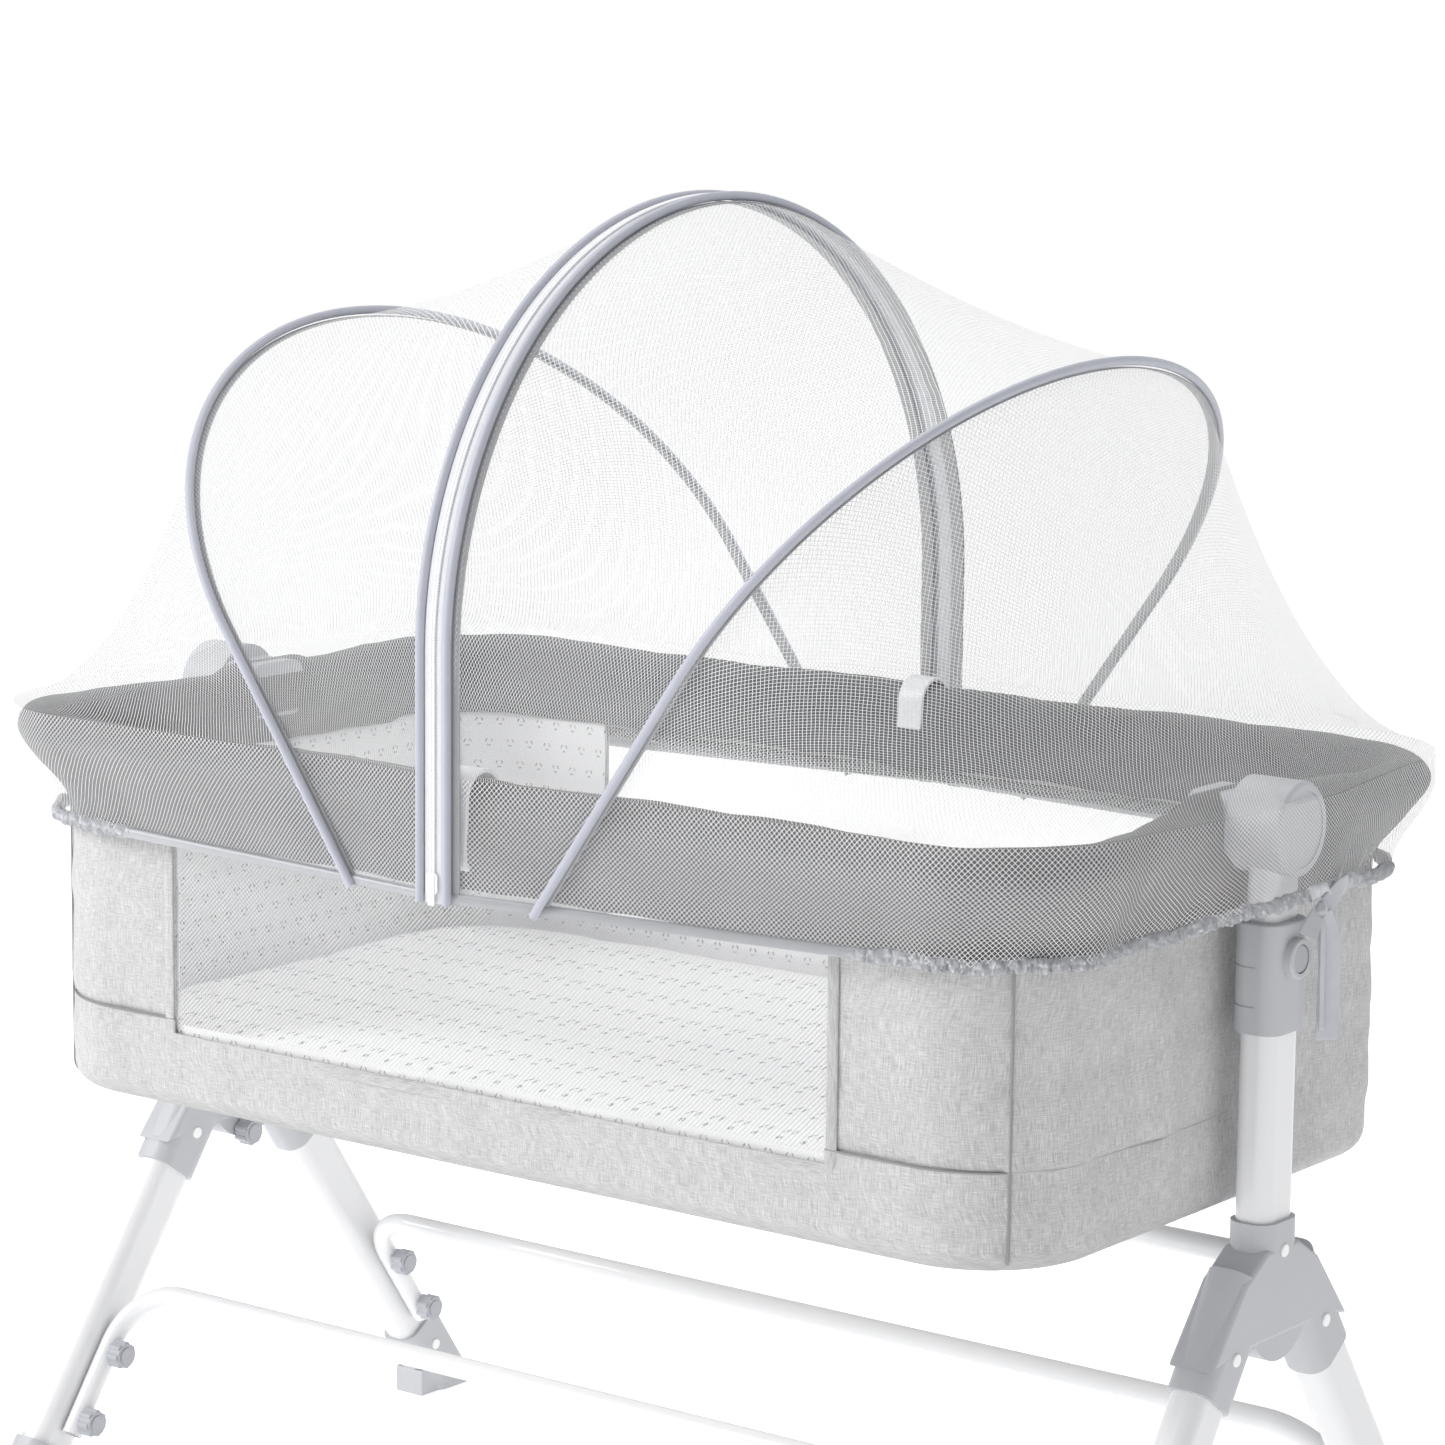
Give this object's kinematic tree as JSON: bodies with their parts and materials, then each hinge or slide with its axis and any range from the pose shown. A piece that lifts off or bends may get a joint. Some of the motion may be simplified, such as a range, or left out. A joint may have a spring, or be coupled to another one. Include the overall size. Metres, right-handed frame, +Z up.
{
  "type": "bassinet on stand",
  "caption": "Fabric bassinet with mesh sides, a padded rail and a hooped net cover, hung between two telescopic posts on an A-frame stand.",
  "frame": {"origin": "on the floor under the middle of the stand", "axes": "+X along the length to the right end, +Y to the far side, +Z up"},
  "size_m": [0.9392, 0.57, 0.963],
  "materials": {
    "grey_moulding": "satin moulded plastic with a fine grain",
    "white_tube": "white powder coat, smooth",
    "knob_moulding": "satin moulded plastic",
    "rivet": "white painted",
    "button_moulding": "polished plastic",
    "spring_steel": "bright steel",
    "rail_fabric": "dark grey woven cover",
    "linen_fabric": "light grey heathered linen weave",
    "window_mesh": "white open knitted mesh",
    "board": "plain board",
    "mattress_cloth": "white cloth with a small printed motif",
    "liner_cloth": "white cloth with a small printed motif",
    "net": "fine white see-through net",
    "hem_ribbon": "grey satin ribbon and elastic",
    "hoop_piping": "grey satin piping over a sprung wire",
    "zip": "white zip tape",
    "clip_moulding": "white moulded plastic"
  },
  "bodies": {
    "stand": {"bracket_right": "grey_moulding", "bracket_left": "grey_moulding", "post_tube_right": "white_tube", "post_tube_left": "white_tube", "height_sleeve_right": "grey_moulding", "height_sleeve_left": "grey_moulding", "leg_right_rear": "white_tube", "leg_right_front": "white_tube", "leg_left_rear": "white_tube", "leg_left_front": "white_tube", "foot_right_rear": "grey_moulding", "foot_right_front": "grey_moulding", "foot_left_rear": "grey_moulding", "foot_left_front": "grey_moulding", "crossbar_rear": "white_tube", "crossbar_front": "white_tube", "crossbar_upper": "white_tube", "crossbar_knobs": "knob_moulding", "bracket_knobs": "knob_moulding", "bracket_rivets": "rivet", "foot_rivets": "rivet", "button_spring_right": "spring_steel", "button_spring_left": "spring_steel"},
    "lifting_posts": {"inner_tube_right": "white_tube", "inner_tube_left": "white_tube", "hub_cover_right": "grey_moulding", "hub_cover_left": "grey_moulding", "hub_back_right": "grey_moulding", "hub_back_left": "grey_moulding", "pivot_axle_right": "spring_steel", "pivot_axle_left": "spring_steel"},
    "cradle": {"pivot_block_right": "knob_moulding", "pivot_block_left": "knob_moulding", "rail_near": "white_tube", "rail_far": "white_tube", "rail_cover": "rail_fabric", "basket_shell": "linen_fabric", "mesh_window_far": "window_mesh", "mesh_window_near": "window_mesh", "base_board": "board", "mattress": "mattress_cloth", "wall_liner": "liner_cloth", "net_canopy_right": "net", "net_canopy_left": "net", "net_skirt": "net", "net_hem": "hem_ribbon", "centre_hoop_right": "hoop_piping", "centre_hoop_left": "hoop_piping", "side_hoop_right": "hoop_piping", "side_hoop_left": "hoop_piping", "zip_tape": "zip", "net_clip_near": "clip_moulding", "net_clip_far": "clip_moulding", "ribbon_tie_right": "hem_ribbon", "ribbon_tie_left": "hem_ribbon"},
    "button_right": {"height_button_right": "button_moulding"},
    "button_left": {"height_button_left": "button_moulding"},
    "zip_pull": {"zip_slider": "clip_moulding"}
  },
  "joints": [
    {"name": "height", "type": "slide", "parent": "stand", "child": "lifting_posts", "axis": [0, 0, 1], "range_m": [0, 0.12]},
    {"name": "swing", "type": "hinge", "parent": "lifting_posts", "child": "cradle", "pos_m": [0, 0, 0.5895], "axis": [1, 0, 0], "range_deg": [-10, 10]},
    {"name": "press_right", "type": "slide", "parent": "stand", "child": "button_right", "axis": [-1, 0, 0], "range_m": [0, 0.0035], "stiffness_N_per_m": 600, "springref_m": -0.002, "deforming": ["button_spring_right"]},
    {"name": "press_left", "type": "slide", "parent": "stand", "child": "button_left", "axis": [1, 0, 0], "range_m": [0, 0.0035], "stiffness_N_per_m": 600, "springref_m": -0.002, "deforming": ["button_spring_left"]},
    {"name": "zip", "type": "slide", "parent": "cradle", "child": "zip_pull", "axis": [0, 0, 1], "range_m": [0, 0.13]}
  ]
}
